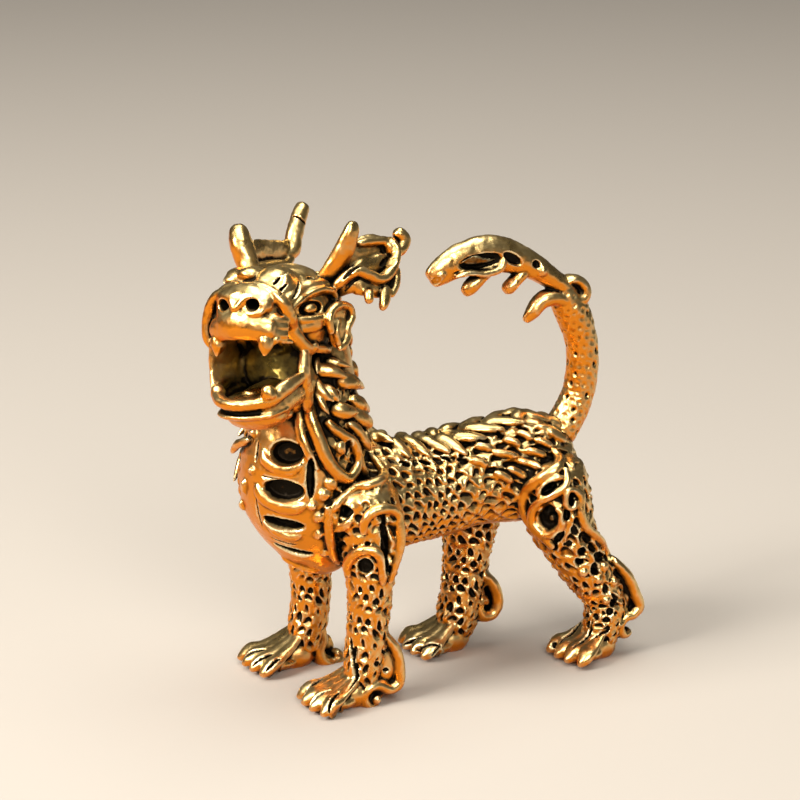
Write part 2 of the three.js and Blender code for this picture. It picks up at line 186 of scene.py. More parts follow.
TRUNK_RADIUS, RIB_ROW = 5.4, 1.12
SCALE_LENGTH, GROWTH = 1.72, 0.05  # length amidships, and how much it grows in a millimetre back


def flank_relief(share, angle, at):
    """Rows down the ribs, small at the shoulder and long at the rump, that lean back as they fall."""
    fall = np.abs((angle + pi / 2) % (2 * pi) - pi) * TRUNK_RADIUS
    back = at[:, 1]
    lean = 0.5 - 0.3 * soft_step(back, -3, 4)
    across = np.log(np.maximum(SCALE_LENGTH + GROWTH * (back - lean * fall), 0.3)) / GROWTH
    wave = 0.16 * np.sin(back * 1.3 + fall * 0.6) + 0.1 * np.sin(back * 2.7 - fall * 1.9)
    net = pitted(fall / RIB_ROW + wave, across + 0.12 * np.sin(fall * 2.3 + back), 0.55, 0.4, wide=0.4)
    return net * soft_step(fall, 1.2, 2.6) * (1 - 0.7 * soft_step(fall, 12.5, 15)) - 0.04


LEG_LENGTH, ROW, PITS_ROUND = 24, 1.4, 12


def leg_relief(deep):
    """Loose small pits down a leg."""
    def relief(share, angle, at):
        fall = share * LEG_LENGTH
        across = angle / (2 * pi) * PITS_ROUND + 0.25 * np.sin(fall * 0.9)
        down = fall / ROW + 0.3 * np.sin(angle * 2) + 0.12 * np.sin(angle * 5 + share * 30)
        return pitted(down, across, deep, 1.1, PITS_ROUND, 0.34)
    return relief


THIGH, SHIN = 3.4, 2.05
FORE = [(4.1, 4.4), (THIGH, THIGH + 0.1), (SHIN + 0.25, SHIN + 0.35), SHIN, SHIN]
FAR = [(3.8, 4), (2.9, 3), (2.2, 2.4), (2, 2.1), 2.1]
HIND = [(4.1, 4.8), (THIGH, THIGH + 0.5), (SHIN + 0.4, SHIN + 0.6), SHIN + 0.1, SHIN + 0.15]
FAR_HIND = [(3.9, 4.6), (3.1, 3.4), (2.4, 2.6), (2.2, 2.3), 2.3]
FORE_PITS, HIND_PITS = 0.5, 0.7
FORE_LEGS = [
    ([(4.2, -9.2, 22.6), (5.4, -8.2, 17.4), (5.7, -8.3, 12.4), (5.6, -8.6, 7.4), (5.6, -9.4, 1.6)], FORE),
    ([(-4.2, -9.2, 22.6), (-5.4, -8.9, 17.2), (-6, -9.1, 12), (-6.4, -8.9, 7.2), (-6.7, -9.6, 1.5)], FAR),
]
HIND_LEGS = [
    ([(3.6, 13, 21.6), (5, 13.8, 15.8), (5.6, 16.4, 10.2), (5.6, 19.2, 5.8), (5.5, 18.4, 1.4)], HIND),
    ([(-3.4, 11.2, 21), (-4.2, 8.9, 15), (-3.8, 8.0, 10.2), (-3.4, 7.2, 6), (-3.4, 6.2, 1.4)], FAR_HIND),
]
TRUNK = [(0, -14, 20.3), (0, -7, 19.7), (0, 0, 19.3), (0, 6, 19.8), (0, 13, 20), (0, 17.7, 20.8)]
TRUNK_SIZES = [(6.0, 6.3), (5.8, 6.3), (5, 5.3), (5, 5.1), (5.5, 5.8), 4.2]
NECK = [(0.9, -9.8, 13), (0.4, -11.6, 17.4), (0.2, -13, 22.5), (0.3, -12.4, 28), (0.8, -12, 32),
        (0.9, -11.8, 36.2)]
NECK_SIZES = [(3.2, 3), 5.1, (6.3, 6.1), (5.7, 5.8), 4.4, 3.3]
PLAIN = 0.5  # facets a millimetre of a form without its relief


def leg(wax, path, sizes, pits=None):
    fine = FINE if pits else PLAIN
    relief = leg_relief(pits) if pits else None
    form(wax, path, sizes, int(60 * fine), int(130 * fine), ACROSS, 6, relief)


def trunk(wax, carved):
    fine = FINE if carved else PLAIN
    relief = flank_relief if carved else None
    form(wax, TRUNK, TRUNK_SIZES, int(110 * fine), int(170 * fine), UP, 4, relief)


def neck(wax, carved):
    fine = FINE if carved else PLAIN
    relief = neck_relief if carved else None
    form(wax, NECK, NECK_SIZES, int(100 * fine), int(140 * fine), ACROSS, 4, relief)


def nape(wax):
    """The ridge that carries the back of the skull."""
    form(wax, [(0.6, -10.8, 30), (0.4, -11, 34.5), (0.1, -11.4, 38.8)], [3.6, 3.1, 2.5], 50, 50, ACROSS)


def neck_relief(share, angle, at):
    """Bare on the breast, small pits round the nape."""
    breast, columns = 38, 28  # heading of the bare side in degrees, and pits in a ring
    heading = (180 - np.degrees(angle)) % 360
    off = np.abs((heading - breast + 180) % 360 - 180)
    net = pitted((34 - at[:, 2]) / 1.2, angle / (2 * pi) * columns, 0.5, 0.6, columns)
    return net * soft_step(off, 50, 62)


smooth = bmesh.new()
trunk(smooth, False)
neck(smooth, False)
nape(smooth)
for path, sizes in FORE_LEGS + HIND_LEGS:
    leg(smooth, path, sizes)
skin = BVHTree.FromBMesh(smooth)
smooth.free()
NEAR_FIGURE = range(290, 372, 2)  # millimetres from the eye


def on_wax(tree, x, y):
    """The place on the smooth wax under a place in the picture, and the way out of the wax there."""
    line = sight(x, y)
    place, out, *_ = tree.ray_cast(eye, line)
    if place:
        return place, out
    spots = [tree.find_nearest(eye + line * reach) for reach in NEAR_FIGURE]
    return min(spots, key=lambda spot: spot[3])[:2]


ACROSS_BODY = Matrix.Scale(-1, 4, (1, 0, 0))
HIND_COPY = Matrix.Translation((0, -4.6, 0)) @ ACROSS_BODY


def laid(tree, pixels, copy):
    """Places on the wax under a line in the picture, or under its copy on the hidden side."""
    spots = []
    for k, (x, y) in enumerate(pixels):
        place, out = on_wax(tree, x, y)
        stride = 0.3 + 0.25 * dist(pixels[k - 1], (x, y))
        if spots and (place - spots[-1][0]).length > stride:
            level = eye + sight(x, y) * (spots[-1][0] - eye).length
            place, out = tree.find_nearest(level)[:2]
        spots.append((place, out))
    if copy:
        spots = [tree.find_nearest(copy @ place)[:2] for place, _ in spots]
    return spots


def sides(copy):
    """The side in view, and the hidden side where it has a copy."""
    return (None, copy) if copy else (None,)


def cord(wax, tree, pixels, wide, tall, lift, sizes=(0.6, 1, 1, 1, 0.6), copy=ACROSS_BODY, blunt=6, tip=None):
    """A raised cord or lock laid on the wax."""
    tip = lift if tip is None else tip
    for side in sides(copy):
        spots = laid(tree, pixels, side)
        lifts = np.linspace(lift, tip, len(spots))
        path = [place + out * high for (place, out), high in zip(spots, lifts)]
        outs = [out for _, out in spots]
        length = sum((b - a).length for a, b in zip(path, path[1:]))
        halves = [(wide * size, tall * size) for size in sizes]
        form(wax, path, halves, 16, int(10 + 7 * length), outs, blunt)


def bead(wax, tree, x, y, wide, tall, long=None, lift=0, copy=None):
    """A bead pressed on the wax."""
    for side in sides(copy):
        place, out = laid(tree, [(x, y)], side)[0]
        set_on = Matrix.Translation(place + out * lift) @ out.to_track_quat("Z", "Y").to_matrix().to_4x4()
        lump(wax, (0, 0, 0), (wide, long or wide, tall), place=set_on)


rear_wax = bmesh.new()
trunk(rear_wax, True)
for path, sizes in HIND_LEGS:
    leg(rear_wax, path, sizes, HIND_PITS)
SPINE = [  # root and tip of each lock down the back, in the picture
    ((394, 444), (409, 459)), ((409, 442), (429, 458)), ((426, 442), (450, 454)), ((444, 441), (467, 456)),
    ((461, 438), (486, 440)), ((472, 430), (505, 431)), ((493, 423), (526, 424)), ((514, 414), (549, 423)),
    ((545, 418), (566, 430)), ((550, 432), (564, 443)),
]
for root, tip in SPINE:
    start = (root[0] - 0.4 * (tip[0] - root[0]), root[1] - 0.3 * (tip[1] - root[1]))
    cord(rear_wax, skin, (start, root, tip), 0.72, 0.5, 0, (0.6, 0.95, 1.05, 1, 0.55), blunt=3, tip=0.3)
RUMP = [
    ((502, 440), (521, 446)), ((492, 453), (519, 457)), ((534, 440), (552, 448)), ((515, 433), (534, 440)),
    ((506, 468), (528, 478)), ((518, 461), (542, 469)), ((524, 450), (546, 457)), ((493, 472), (513, 482)),
    ((474, 447), (493, 450)), ((470, 460), (488, 466)), ((534, 427), (555, 434)),
]
for root, tip in RUMP:
    middle = ((root[0] + tip[0]) / 2, (root[1] + tip[1]) / 2 - 1)
    cord(rear_wax, skin, (root, middle, tip), 0.42, 0.5, 0.1, (0.7, 1, 1, 1, 0.6), blunt=4)
HAUNCH = [
    ([(552, 450), (559, 459), (557, 468), (546, 476), (534, 484), (525, 491), (523, 503), (528, 516),
      (537, 528), (548, 540), (554, 547)], 0.5),
    ([(565, 468), (566, 482), (560, 490), (550, 496), (541, 501), (535, 508), (533, 519), (537, 530),
      (547, 534), (557, 531), (562, 522), (561, 512), (556, 507)], 0.36),
    ([(573, 489), (579, 497), (580, 515), (586, 528), (598, 540), (607, 552), (613, 562)], 0.36),
    ([(574, 490), (567, 490), (565, 498), (567, 506), (572, 507), (575, 500)], 0.26),
    ([(563, 478), (556, 478), (546, 485), (540, 492), (541, 497)], 0.3),
]
for pixels, wide in HAUNCH:
    cord(rear_wax, skin, pixels, wide * 1.25, 0.5, 0.2, (0.8, 1, 1, 1, 0.8), copy=HIND_COPY)
HOCK_BEADS = [(604, 566, 0.6), (598, 579, 0.5), (613, 582, 0.45), (583, 572, 0.5), (552, 520, 0.5),
              (606, 600, 0.45)]
for x, y, wide in HOCK_BEADS:
    bead(rear_wax, skin, x, y, wide, 0.5, copy=HIND_COPY)

# Paws
# Each brass paw was modelled on the leg's end, and cast with it: four long toes with tendons over
# them and a claw at each tip, and a spur behind the heel that rolls up like a fern.
TOE = [(0.4, 0.6), (0.42, 0.9), (0.48, 1.0), (0.66, 1.05), (0.66, 0.9), 0.5]


def paw(wax, x, y, turn, long):
    """A paw on the floor, with how long its toes are."""
    place = Matrix.Translation((x, y, 0)) @ Matrix.Rotation(radians(turn), 4, "Z")
    lump(wax, (0, -0.2, 1.2), (1.9, 2.2, 1.7), 32, 20, place)
    lump(wax, (0, -long * 0.45, 0.8), (2.1, long * 0.5, 0.9), 32, 20, place)
    for k in range(4):
        side = k - 1.5
        reach = long - 0.35 * abs(side)
        splay = sin(radians(side * 13)) * reach
        path = [(side * 0.7, 0.5, 4.0), (side * 0.95, -reach * 0.3, 2.6),
                (side * 1.12 + splay * 0.15, -reach * 0.62, 1.8),
                (side * 1.25 + splay * 0.3, -reach * 0.85, 1.45), (side * 1.3 + splay * 0.4, -reach, 0.95),
                (side * 1.3 + splay * 0.5, -reach - 0.75, 0.5)]
        form(wax, path, TOE, 24, 70, ACROSS, 3, place=place)


def in_plane(x, y, across):
    """A place through the picture in an upright plane along the body."""
    line = sight(x, y)
    return eye + line * ((across - eye.x) / line.x)


BAND, BREADTH = 0.72, 1.2
SPUR = [(BAND * 0.8, BREADTH), (BAND, BREADTH), (BAND, BREADTH), (BAND * 0.9, BREADTH * 0.9),
        (BAND * 0.7, BREADTH * 0.7)]


def spur(wax, pixels, across):
    """A rolled band behind a heel, drawn through the picture in the plane of its leg."""
    form(wax, [in_plane(x, y, across) for x, y in pixels], SPUR, 20, 110, ACROSS, 6)


def heel(wax, x, y, across, size):
    """The web inside a spur."""
    lump(wax, in_plane(x, y, across), size, 32, 24)


HIND_PAWS = [(5.5, 18.4, 8, 4.4), (-3.4, 5.9, 0, 4.6)]
LEFT_HIND_SPUR = [(610, 558), (619, 567), (627, 578), (632, 591), (636, 604), (630, 612), (621, 617),
                  (617, 626), (622, 633), (629, 629)]
RIGHT_HIND_SPUR = [(478, 572), (487, 578), (494, 590), (495, 603), (489, 613), (480, 614), (476, 606),
                   (480, 598), (486, 602)]
for x, y, turn, long in HIND_PAWS:
    paw(rear_wax, x, y, turn, long)
spur(rear_wax, LEFT_HIND_SPUR, 6.5)
heel(rear_wax, 620, 594, 5.9, (1.1, 1.3, 2.6))
heel(rear_wax, 486, 592, -3.7, (0.5, 1.1, 1.8))
spur(rear_wax, RIGHT_HIND_SPUR, -2.4)


def settle(piece):
    """Makes what the piece's modifiers do its own mesh."""
    shaped = piece.evaluated_get(bpy.context.evaluated_depsgraph_get())
    mesh = bpy.data.meshes.new_from_object(shaped)
    old = piece.data
    piece.modifiers.clear()
    piece.data = mesh
    bpy.data.meshes.remove(old)
    mesh.name = piece.name


def melted(wax, name, voxel):
    """The wax forms run together into one closed skin."""
    bmesh.ops.recalc_face_normals(wax, faces=wax.faces)
    piece = placed(name, mesh_of(wax, name))
    melt = piece.modifiers.new("melt", "REMESH")
    melt.mode = "VOXEL"
    melt.voxel_size = voxel
    settle(piece)
    return piece


def numbers(things, field, width=3, kind=float):
    """One field of a mesh's vertices or edges, a row for each."""
    values = np.empty(len(things) * width, kind)
    things.foreach_get(field, values)
    return values.reshape(-1, width)


BEHIND = 2.2  # how far behind and before its own place a hollow reaches


def hollowed(piece, tree, hollows, copy=None):
    """Presses hollows into the wax: places, half widths and heights in the picture, turns and depths."""
    scale = DISTANCE / FOCAL
    co = numbers(piece.data.vertices, "co")
    pressed = np.zeros(len(co))
    for x, y, wide, tall, turn, depth in hollows:
        place, out = on_wax(tree, x, y)
        level, steep = cos(radians(turn)), sin(radians(turn))
        flat = [rightward * level + upward * steep, upward * level - rightward * steep]
        lean = [(way - out * out.dot(way)).normalized() for way in flat]
        for side in sides(copy):
            at, away, ways = place, out, lean
            if side:
                at, away, *_ = tree.find_nearest(side @ place)
                turned = [side.to_3x3() @ way for way in lean]
                ways = [(way - away * away.dot(way)).normalized() for way in turned]
            rel = co - np.array(at)
            height = rel @ np.array(away)
            aside = rel @ np.array(ways[0]) / (wide * scale)
            along = rel @ np.array(ways[1]) / (tall * scale)
            reach = np.sqrt(aside ** 2 + along ** 2)
            push = (1 - soft_step(reach, 0.72, 1.12)) * (np.abs(height) < BEHIND)
            co -= np.outer(push * depth, np.array(away))
            pressed = np.maximum(pressed, push * min(depth / 0.6, 1))
    piece.data.vertices.foreach_set("co", co.ravel())
    mark = piece.data.attributes.get("pressed") or piece.data.attributes.new("pressed", "FLOAT", "POINT")
    before = numbers(mark.data, "value", 1)[:, 0]
    mark.data.foreach_set("value", np.maximum(before, pressed))


def skin_of(piece):
    """The skin as it is now, to lay places on."""
    wax = bmesh.new()
    wax.from_mesh(piece.data)
    tree = BVHTree.FromBMesh(wax)
    wax.free()
    return tree


def worked(place):
    """The unevenness that the fingers and the sand left."""
    return 0.07 * noise.noise(place * 0.75) + 0.035 * noise.noise(place * 2.1)


SMOOTHED = (("near", 6), ("wide", 50))  # rounds of smoothing that show the small and the wide hollows


def cooled(piece, limit):
    """Thins the skin to a limit of triangles, keeps how hollow each place is, and sets it in the frame."""
    mesh = piece.data
    co = numbers(mesh.vertices, "co")
    normal = numbers(mesh.vertex_normals, "vector")
    co += normal * np.array([worked(Vector(place)) for place in co])[:, None]
    co[:, 2] = np.maximum(co[:, 2], 0)
    mesh.vertices.foreach_set("co", co.ravel())
    mesh.update()
    ends = numbers(mesh.edges, "vertices", 2, np.int32)
    count = len(co)
    degree = np.bincount(ends.ravel(), minlength=count)[:, None]
    normal = numbers(mesh.vertex_normals, "vector")
    soft = co.copy()
    rounds = 0
    for name, upto in SMOOTHED:
        while rounds < upto:
            pulled = np.stack([np.bincount(ends[:, 0], soft[ends[:, 1], k], count)
                               + np.bincount(ends[:, 1], soft[ends[:, 0], k], count) for k in range(3)], 1)
            soft = 0.5 * soft + 0.5 * pulled / np.maximum(degree, 1)
            rounds += 1
        mark = mesh.attributes.new(name, "FLOAT", "POINT")
        mark.data.foreach_set("value", ((soft - co) * normal).sum(1))
    thin = piece.modifiers.new("thin", "DECIMATE")
    thin.ratio = min(1, limit / (2 * len(mesh.polygons)))
    settle(piece)
    for vertex in piece.data.vertices:
        vertex.co.z = max(vertex.co.z, 0)
    piece.data.transform(IN_FRAME)
    for polygon in piece.data.polygons:
        polygon.use_smooth = True
    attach(piece, "root")
    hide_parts("taotie_figure")


VOXEL = 0.115
FEW = 1
MOST = 190000 * FEW  # triangles of a piece
HAUNCH_HOLLOWS = [
    (549, 488, 9, 5, 40, 0.8), (548, 519, 11, 12, 0, 0.8), (570, 499, 3.5, 7, 0, 0.6),
    (566, 515, 4, 6, 0, 0.5), (559, 536, 4, 9, -25, 0.6), (575, 531, 4, 6, 20, 0.5),
    (588, 540, 4, 4, 0, 0.5), (568, 545, 4.5, 3.5, 0, 0.5), (583, 551, 3, 5, 0, 0.5),
    (579, 562, 5, 4, -30, 0.5), (601, 557, 11, 6, -25, 0.7), (595, 569, 5, 7, 0, 0.6),
    (606, 590, 4, 5, 0, 0.5), (613, 603, 4, 5, 0, 0.5), (610, 612, 4, 4, 0, 0.5)]
UNDER_LOCKS = [(tip[0] - 4, tip[1] + 4, 6, 2.6, -15, 0.6) for _, tip in SPINE[:8]]
HIND_TOE_GROOVES = [
    (585, 639, 17, 1.8, 42, 0.5), (572, 633, 19, 1.8, 48, 0.5), (600, 634, 12, 1.6, 38, 0.4),
    (554, 645, 3, 3, 0, 0.4), (413, 641, 12, 1.7, 25, 0.5), (425, 646, 11, 1.7, 35, 0.5),
    (437, 651, 8, 1.6, 50, 0.4)]
rear = melted(rear_wax, "casting_rear", VOXEL)
hollowed(rear, skin, HAUNCH_HOLLOWS, HIND_COPY)
hollowed(rear, skin, UNDER_LOCKS, ACROSS_BODY)
hollowed(rear, skin_of(rear), HIND_TOE_GROOVES)
cooled(rear, MOST)

# Neck, breast and forelegs
# The front of the brass casting: the thick upright neck with the mane down its back, the bare
# breast with a ladder of hollows, and two legs under scrolled shoulders.
front_wax = bmesh.new()
neck(front_wax, True)
nape(front_wax)
FORE_PAWS = [(5.4, -9.8, 0, 5.0), (-6.9, -10.3, 0, 5.2)]
LEFT_FORE_SPUR = [(381, 632), (389, 642), (395, 654), (397, 668), (396, 681), (387, 687), (377, 683),
                  (368, 685), (362, 693), (364, 702), (372, 704), (376, 698)]
RIGHT_FORE_SPUR = [(318, 622), (320, 636), (317, 650), (322, 660), (331, 662), (338, 656), (334, 650)]
for path, sizes in FORE_LEGS:
    leg(front_wax, path, sizes, FORE_PITS)
for x, y, turn, long in FORE_PAWS:
    paw(front_wax, x, y, turn, long)
spur(front_wax, LEFT_FORE_SPUR, 6.4)
lump(front_wax, in_plane(375, 698, 6.9), (0.9, 0.55, 0.55), 24, 16)
heel(front_wax, 383, 662, 5.9, (1.25, 1.4, 2.6))
heel(front_wax, 374, 690, 5.9, (0.9, 1.3, 1.0))
heel(front_wax, 324, 648, -7.2, (0.5, 1.1, 1.6))
spur(front_wax, RIGHT_FORE_SPUR, -6)
BREAST_LIPS = [
    ([(262, 450), (266, 461), (277, 468), (290, 470), (302, 464)], 0.5),
    ([(256, 484), (261, 496), (276, 506), (292, 509), (306, 505)], 0.55),
    ([(264, 521), (277, 532), (292, 537), (302, 535)], 0.4),
    ([(281, 558), (303, 567), (319, 571)], 0.35),
]
for pixels, wide in BREAST_LIPS:
    cord(front_wax, skin, pixels, wide * 1.15, 0.4, 0, copy=None)
THROAT = [(305, 384), (309, 404), (311, 420), (318, 438), (323, 452), (330, 465), (338, 474), (346, 477),
          (352, 470), (355, 460), (354, 450), (350, 441), (341, 435), (331, 427), (325, 420)]
cord(front_wax, skin, THROAT, 0.5, 0.55, 0.3, (1.2, 1.4, 1.2, 1, 1.2))
THROAT_EDGE = [(296, 392), (299, 412), (301, 432), (308, 452), (318, 470)]
cord(front_wax, skin, THROAT_EDGE, 0.5, 0.4, 0.1)
SHOULDER = [
    [(368, 455), (377, 464), (382, 472), (380, 482), (369, 487), (355, 490), (342, 496), (334, 505),
     (333, 517), (338, 526), (346, 525), (352, 519)],
    [(364, 534), (364, 524), (369, 514), (378, 509), (389, 509), (396, 515), (398, 527), (398, 545),
     (394, 562), (388, 582)],
    [(351, 576), (349, 566), (353, 556), (362, 550), (373, 550), (380, 557), (382, 568), (382, 584)],
    [(327, 505), (328, 530), (333, 553), (338, 561)],
]
FORE_COPY = Matrix.Translation((0, -1.3, 0)) @ ACROSS_BODY
for pixels in SHOULDER:
    cord(front_wax, skin, pixels, 0.52, 0.5, 0.25, (0.8, 1, 1, 1, 0.8), copy=FORE_COPY)
MANE = [
    ([(315, 354), (316, 366), (317, 376)], 0.45), ([(306, 351), (307, 366), (306, 386)], 0.42),
    ([(313, 370), (324, 371), (333, 374), (342, 379)], 0.75), ([(324, 361), (334, 365), (345, 367)], 0.5),
    ([(335, 380), (346, 382), (357, 388)], 0.85), ([(314, 378), (320, 391), (331, 402)], 0.55),
    ([(312, 386), (319, 401), (327, 415)], 0.5), ([(323, 385), (330, 393), (335, 402)], 0.5),
    ([(330, 407), (341, 411), (352, 413)], 0.85), ([(349, 397), (357, 405), (371, 412)], 0.75),
    ([(350, 411), (361, 421), (374, 424)], 0.85), ([(346, 421), (354, 431), (361, 444), (369, 456)], 0.55),
    ([(362, 430), (366, 441), (375, 452)], 0.5), ([(372, 432), (379, 441), (392, 449)], 0.6),
    ([(358, 452), (357, 464), (363, 475), (370, 480)], 0.45),
]
for pixels, wide in MANE:
    cord(front_wax, skin, pixels, wide, 0.55, 0.1, (0.8, 1, 0.95, 0.7, 0.12), blunt=4, tip=0.9)
SHOULDER_BEADS = [(331, 483, 0.75), (324, 495, 0.65), (312, 506, 0.45), (319, 517, 0.6), (318, 534, 0.5),
                  (325, 552, 0.5), (342, 447, 0.8)]
for x, y, wide in SHOULDER_BEADS:
    bead(front_wax, skin, x, y, wide, 0.45, copy=FORE_COPY)


def locks(wax, tree, middle, rows, first, last, wide):
    """Rows of pointed locks from one heading to another, with a height and a radius for each row."""
    lifts = (0, 0.15, 0.35, 0.7)
    halves = [(wide, 0.4), (wide, 0.5), (wide * 0.7, 0.4), (0.12, 0.1)]
    drop, twist, spacing = 0.85, 0.1, wide * 2.3
    for k, (high, reach) in enumerate(rows):
        count = max(2, round(radians(last - first) * reach / spacing))
        for n in range(count):
            heading = radians(first + (last - first) * (n + 0.5 * (k % 2)) / count)
            spots = []
            for part in range(len(lifts)):
                turn = heading + twist * part
                seed = middle + Vector((cos(turn) * reach, sin(turn) * reach, high - part * drop))
                spots.append(tree.find_nearest(seed)[:2])
            path = [place + out * lift for (place, out), lift in zip(spots, lifts)]
            form(wax, path, halves, 16, 26, [out for _, out in spots], 4)


NAPE_ROWS = [(38 - 1.9 * k, 3.6 + 0.35 * k) for k in range(8)]
locks(front_wax, skin, Vector((0.4, -11, 0)), NAPE_ROWS, 78, 236, 0.75)
cord(front_wax, skin, [(252, 440), (244, 445), (237, 453)], 0.45, 0.4, 0.3, tip=0.9, copy=None)
FAR_BEADS = [(254, 433, 0.5, 0.5), (245, 486, 0.35, 0.8), (252, 470, 0.4, 0.4), (243, 505, 0.3, 0.6)]
for x, y, wide, long in FAR_BEADS:
    bead(front_wax, skin, x, y, wide, 0.5, long)
BREAST_HOLLOWS = [
    (286, 453, 16.5, 11.5, -8, 1.2), (283, 491, 20, 10.5, -8, 1.1), (283, 525, 20, 7, -12, 1.1),
    (292, 551, 20, 4.5, -15, 0.8), (311, 478, 4, 20, 0, 0.9)]
SHOULDER_HOLLOWS = [
    (386, 545, 5, 30, 0, 0.7), (365, 567, 8, 9, 0, 0.7), (345, 512, 8, 6, 0, 0.5),
    (346, 447, 3.5, 8, 0, 0.5)]
BREAST_CREASES = [
    (258, 512, 1.1, 16, 12, 0.2), (272, 478, 12, 1, -8, 0.2), (257, 452, 1, 11, -8, 0.25),
    (283, 542, 14, 1, -18, 0.2)]
FORE_TOE_GROOVES = [
    (353, 664, 2, 26, 3, 0.6), (384, 652, 3, 2, 0, 0.4), (377, 664, 3, 2.4, 0, 0.4),
    (386, 670, 3, 2, 0, 0.4), (312, 686, 13, 1.8, 30, 0.5), (318, 695, 13, 1.9, 38, 0.55),
    (333, 698, 11, 1.9, 50, 0.55), (252, 652, 13, 1.7, 20, 0.5), (262, 658, 12, 1.7, 28, 0.5),
    (273, 663, 10, 1.7, 40, 0.5)]
front = melted(front_wax, "casting_front", VOXEL)
hollowed(front, skin, BREAST_HOLLOWS)
hollowed(front, skin, SHOULDER_HOLLOWS, FORE_COPY)
hollowed(front, skin, BREAST_CREASES)
hollowed(front, skin_of(front), FORE_TOE_GROOVES)
cooled(front, MOST)

# Tail
# The brass tail is one with the body. It was modelled as a rope that rises from the rump, and ends
# in a leaf of flame folded forward over the back, with curled licks under it.
tail_wax = bmesh.new()
ROUND_STEM, ROWS_UP = 12, 21  # dimples round the rope, and rows of them


def stem_relief(share, angle, at):
    """Rings of small dimples, and some deeper pits."""
    across = angle / (2 * pi) * ROUND_STEM
    down = share * ROWS_UP
    line = np.round(down)
    column = np.round(across - 0.5 * (line % 2))
    luck, other = chance(line, column % ROUND_STEM), chance(column % ROUND_STEM + 5, line)
    x = across - column - 0.5 * (line % 2) + (luck - 0.5) * 0.3
    y = down - line + (other - 0.5) * 0.3
    reach = np.hypot(x, y)
    dimple = (0.08 + 0.22 * (luck > 0.8)) * np.exp(-(reach / 0.26) ** 2)
    return 0.05 - dimple + 0.05 * np.exp(-((reach - 0.42) / 0.12) ** 2)


STEM = [(0, 14.4, 20.4), (0, 17.2, 23.8), (0, 19, 27.4), (0, 19.2, 32), (0, 17.8, 36), (0, 16.2, 38.6)]
STEM_SIZES = [1.9, 1.75, 1.6, 1.6, 1.75, 1.5]
form(tail_wax, STEM, STEM_SIZES, int(60 * FINE), int(170 * FINE), ACROSS, 6, stem_relief)
LEAF = [(580, 303), (566, 290), (552, 279), (536, 268), (517, 259), (500, 254), (484, 253), (468, 257),
        (452, 264), (440, 272), (430, 281)]
LEAF_SIZES = [(1, 1.3), (1.1, 1.3), (1.1, 1.4), (1.3, 1.4), (1.6, 1.4), (1.8, 1.4), (1.85, 1.4), (1.8, 1.3),
              (1.65, 1.15), (1.45, 1), (1.25, 0.85)]
form(tail_wax, [in_plane(x, y, 0) for x, y in LEAF], LEAF_SIZES, 60, 200, ACROSS, 7)
LICKS = [
    ([(492, 266), (480, 277), (470, 287), (463, 293)], [0.8, (0.75, 0.9), 0.8, (0.6, 0.5)]),
    ([(526, 268), (516, 279), (508, 288), (504, 292)], [0.8, (0.65, 0.9), (0.7, 0.8), 0.5]),
    ([(563, 285), (569, 279), (577, 280), (583, 287), (581, 296), (568, 300), (552, 297), (541, 301),
      (533, 311), (525, 322)],
     [(0.4, 0.9), (0.5, 1), (0.55, 1), (0.65, 1.1), (0.8, 1.2), (0.85, 1.2), (0.9, 1.1), (0.9, 1),
      (0.85, 0.9), (0.6, 0.5)]),
    ([(505, 256), (512, 266), (520, 274)], [(0.35, 0.5), 0.35, 0.3]),
    ([(516, 262), (519, 268), (527, 275)], [(0.25, 0.4), 0.4, 0.4]),
    ([(529, 266), (532, 272), (540, 277)], [(0.25, 0.4), 0.4, 0.4]),
]
for pixels, sizes in LICKS:
    form(tail_wax, [in_plane(x, y, 0.4) for x, y in pixels], sizes, 40, 90, ACROSS, 5)
LEAF_RIM = [(455, 277), (470, 273), (486, 274), (501, 268), (505, 257)]
RIM_SIZES = [(0.2, 0.3), (0.3, 0.4), (0.35, 0.4), 0.4, 0.3]
for side in (-1, 1):
    lump(tail_wax, in_plane(542, 271, side * 1.2), (0.6, 0.62, 0.62))
    form(tail_wax, [in_plane(x, y, side * 1.3) for x, y in LEAF_RIM], RIM_SIZES, 20, 60, ACROSS)
LEAF_HOLLOWS = [
    (481, 262, 23, 8, 13, 0.5), (513, 259, 12, 5, -28, 0.45), (537, 264, 5, 4, -30, 0.4),
    (436, 281, 5, 4, 30, 0.15)]
tail = melted(tail_wax, "casting_tail", VOXEL)
hollowed(tail, skin_of(tail), LEAF_HOLLOWS, ACROSS_BODY)
cooled(tail, 80000 * FEW)

# Head
# The brass head was modelled apart and set on the neck before the casting, turned to the beast's
# left and tipped. Its places are given from the middle of the skull: to the left, back and up.
TURN, NOD, TIP = radians(27), radians(-12), radians(-9)
HEAD = (Matrix.Translation((1, -15.1, 41.3)) @ Matrix.Rotation(TURN, 4, "Z")
        @ Matrix.Rotation(NOD, 4, "X") @ Matrix.Rotation(TIP, 4, "Y"))
ACROSS_HEAD = HEAD @ ACROSS_BODY @ HEAD.inverted()


def head_form(wax, path, sizes, around=24, along=24, ref=UP, blunt=5):
    form(wax, path, sizes, around, along, ref, blunt, place=HEAD)


def head_lump(wax, centre, size, around=32, along=20):
    lump(wax, centre, size, around, along, HEAD)


def both(path):
    """The path and its mirror image across the head."""
    return path, [(-x, y, z) for x, y, z in path]


